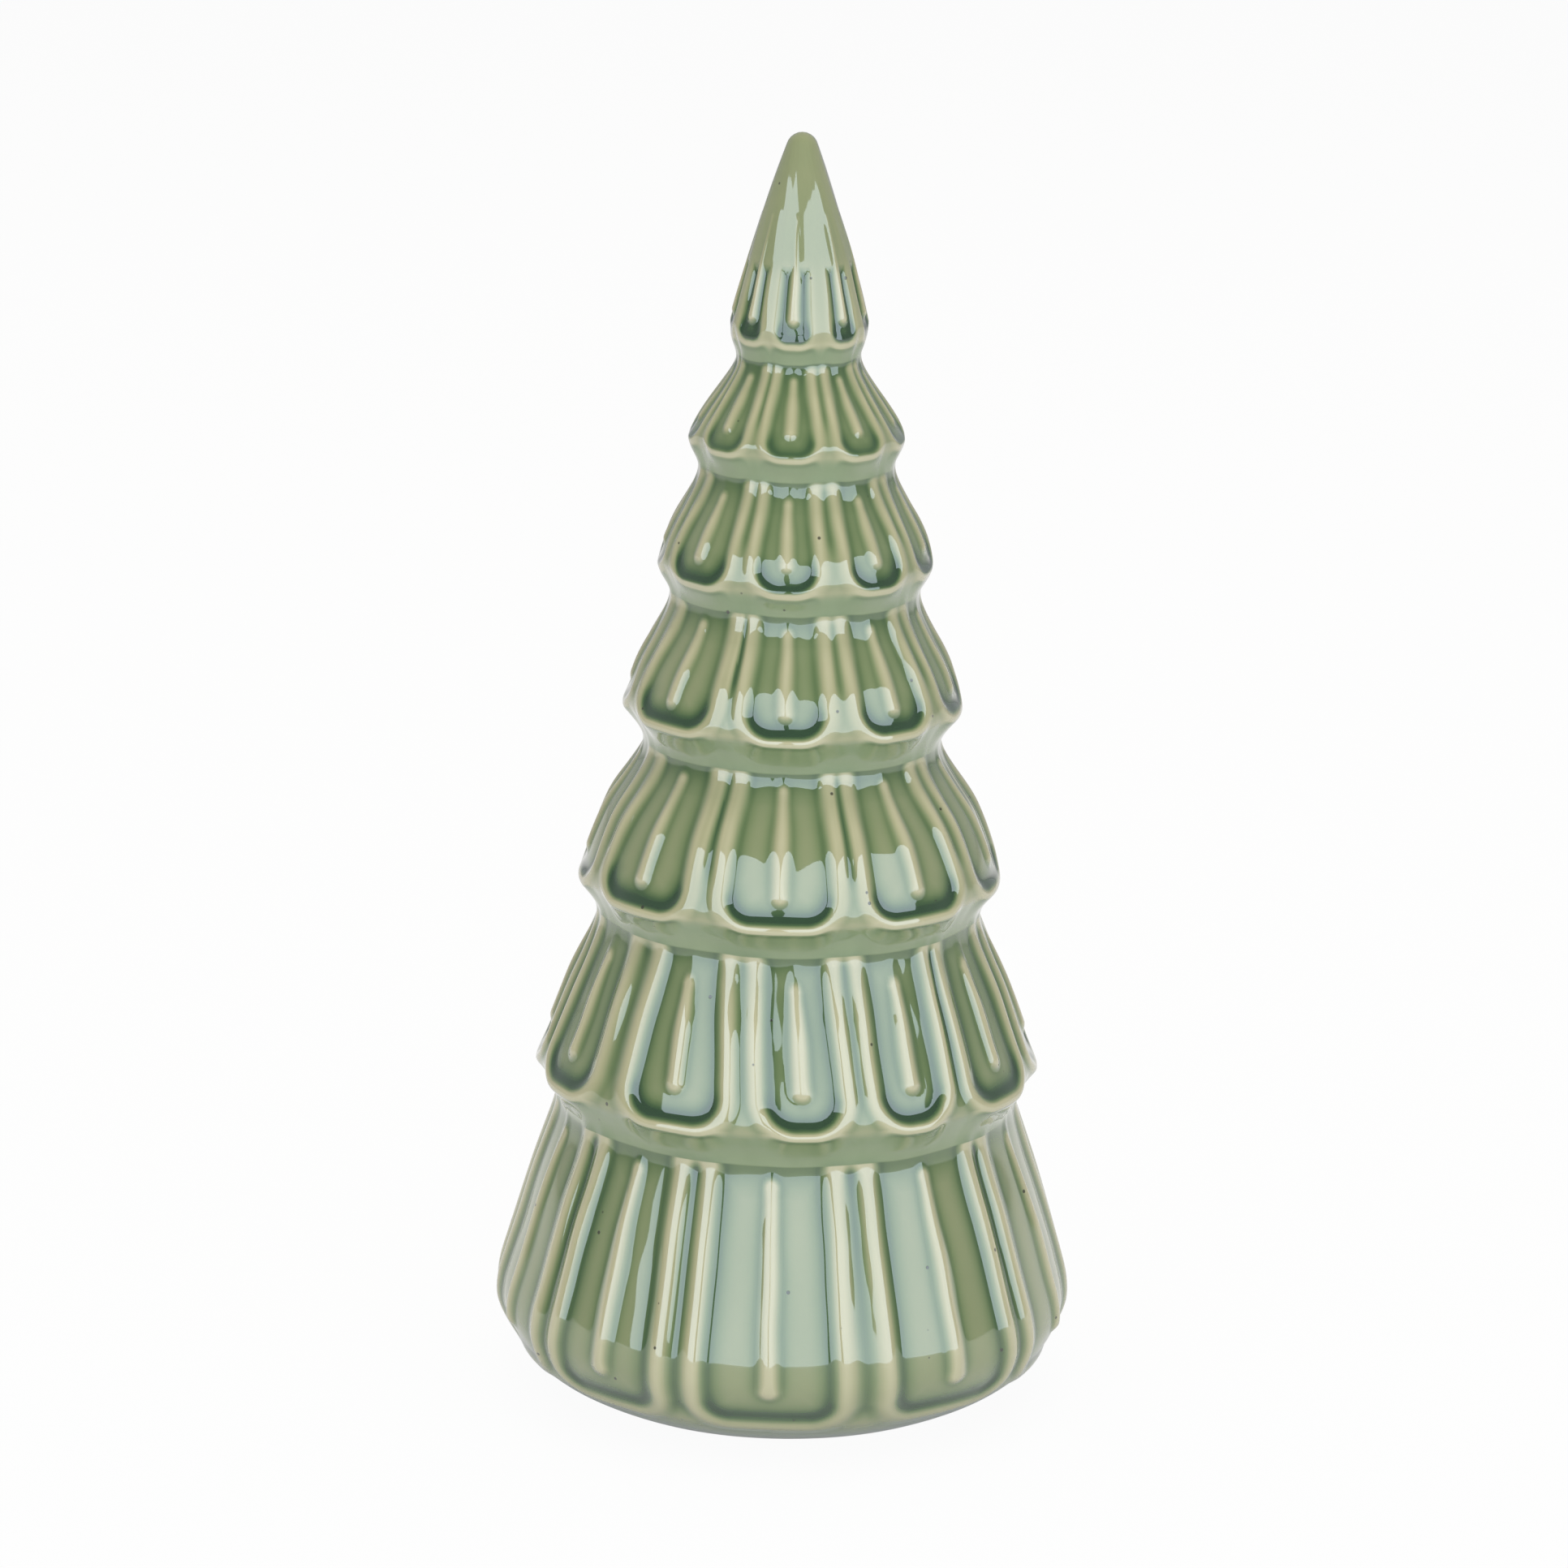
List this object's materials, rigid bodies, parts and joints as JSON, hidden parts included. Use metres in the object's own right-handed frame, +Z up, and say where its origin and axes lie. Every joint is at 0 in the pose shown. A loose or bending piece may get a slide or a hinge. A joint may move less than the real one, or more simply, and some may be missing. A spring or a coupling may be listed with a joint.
{
  "type": "christmas tree figurine",
  "caption": "Freestanding glazed stoneware conifer with flared tiers of raised leaf loops, hollow and open under its foot ring; a table or shelf ornament on rubber bumpers.",
  "frame": {"origin": "centre of the footprint, on the plane that the bumpers stand on", "axes": "+Z up the tree, -Y towards the front seen in the picture, +X to its right"},
  "size_m": [0.1094, 0.1094, 0.24],
  "materials": {
    "glaze": "glossy translucent green glaze over stoneware, cream where it thins on the ridges",
    "bumper_rubber": "frosted clear elastomer"
  },
  "bodies": {
    "root": {"ceramic_body": "glaze", "foot_bumper_1": "bumper_rubber", "foot_bumper_2": "bumper_rubber", "foot_bumper_3": "bumper_rubber", "foot_bumper_4": "bumper_rubber"}
  },
  "joints": []
}
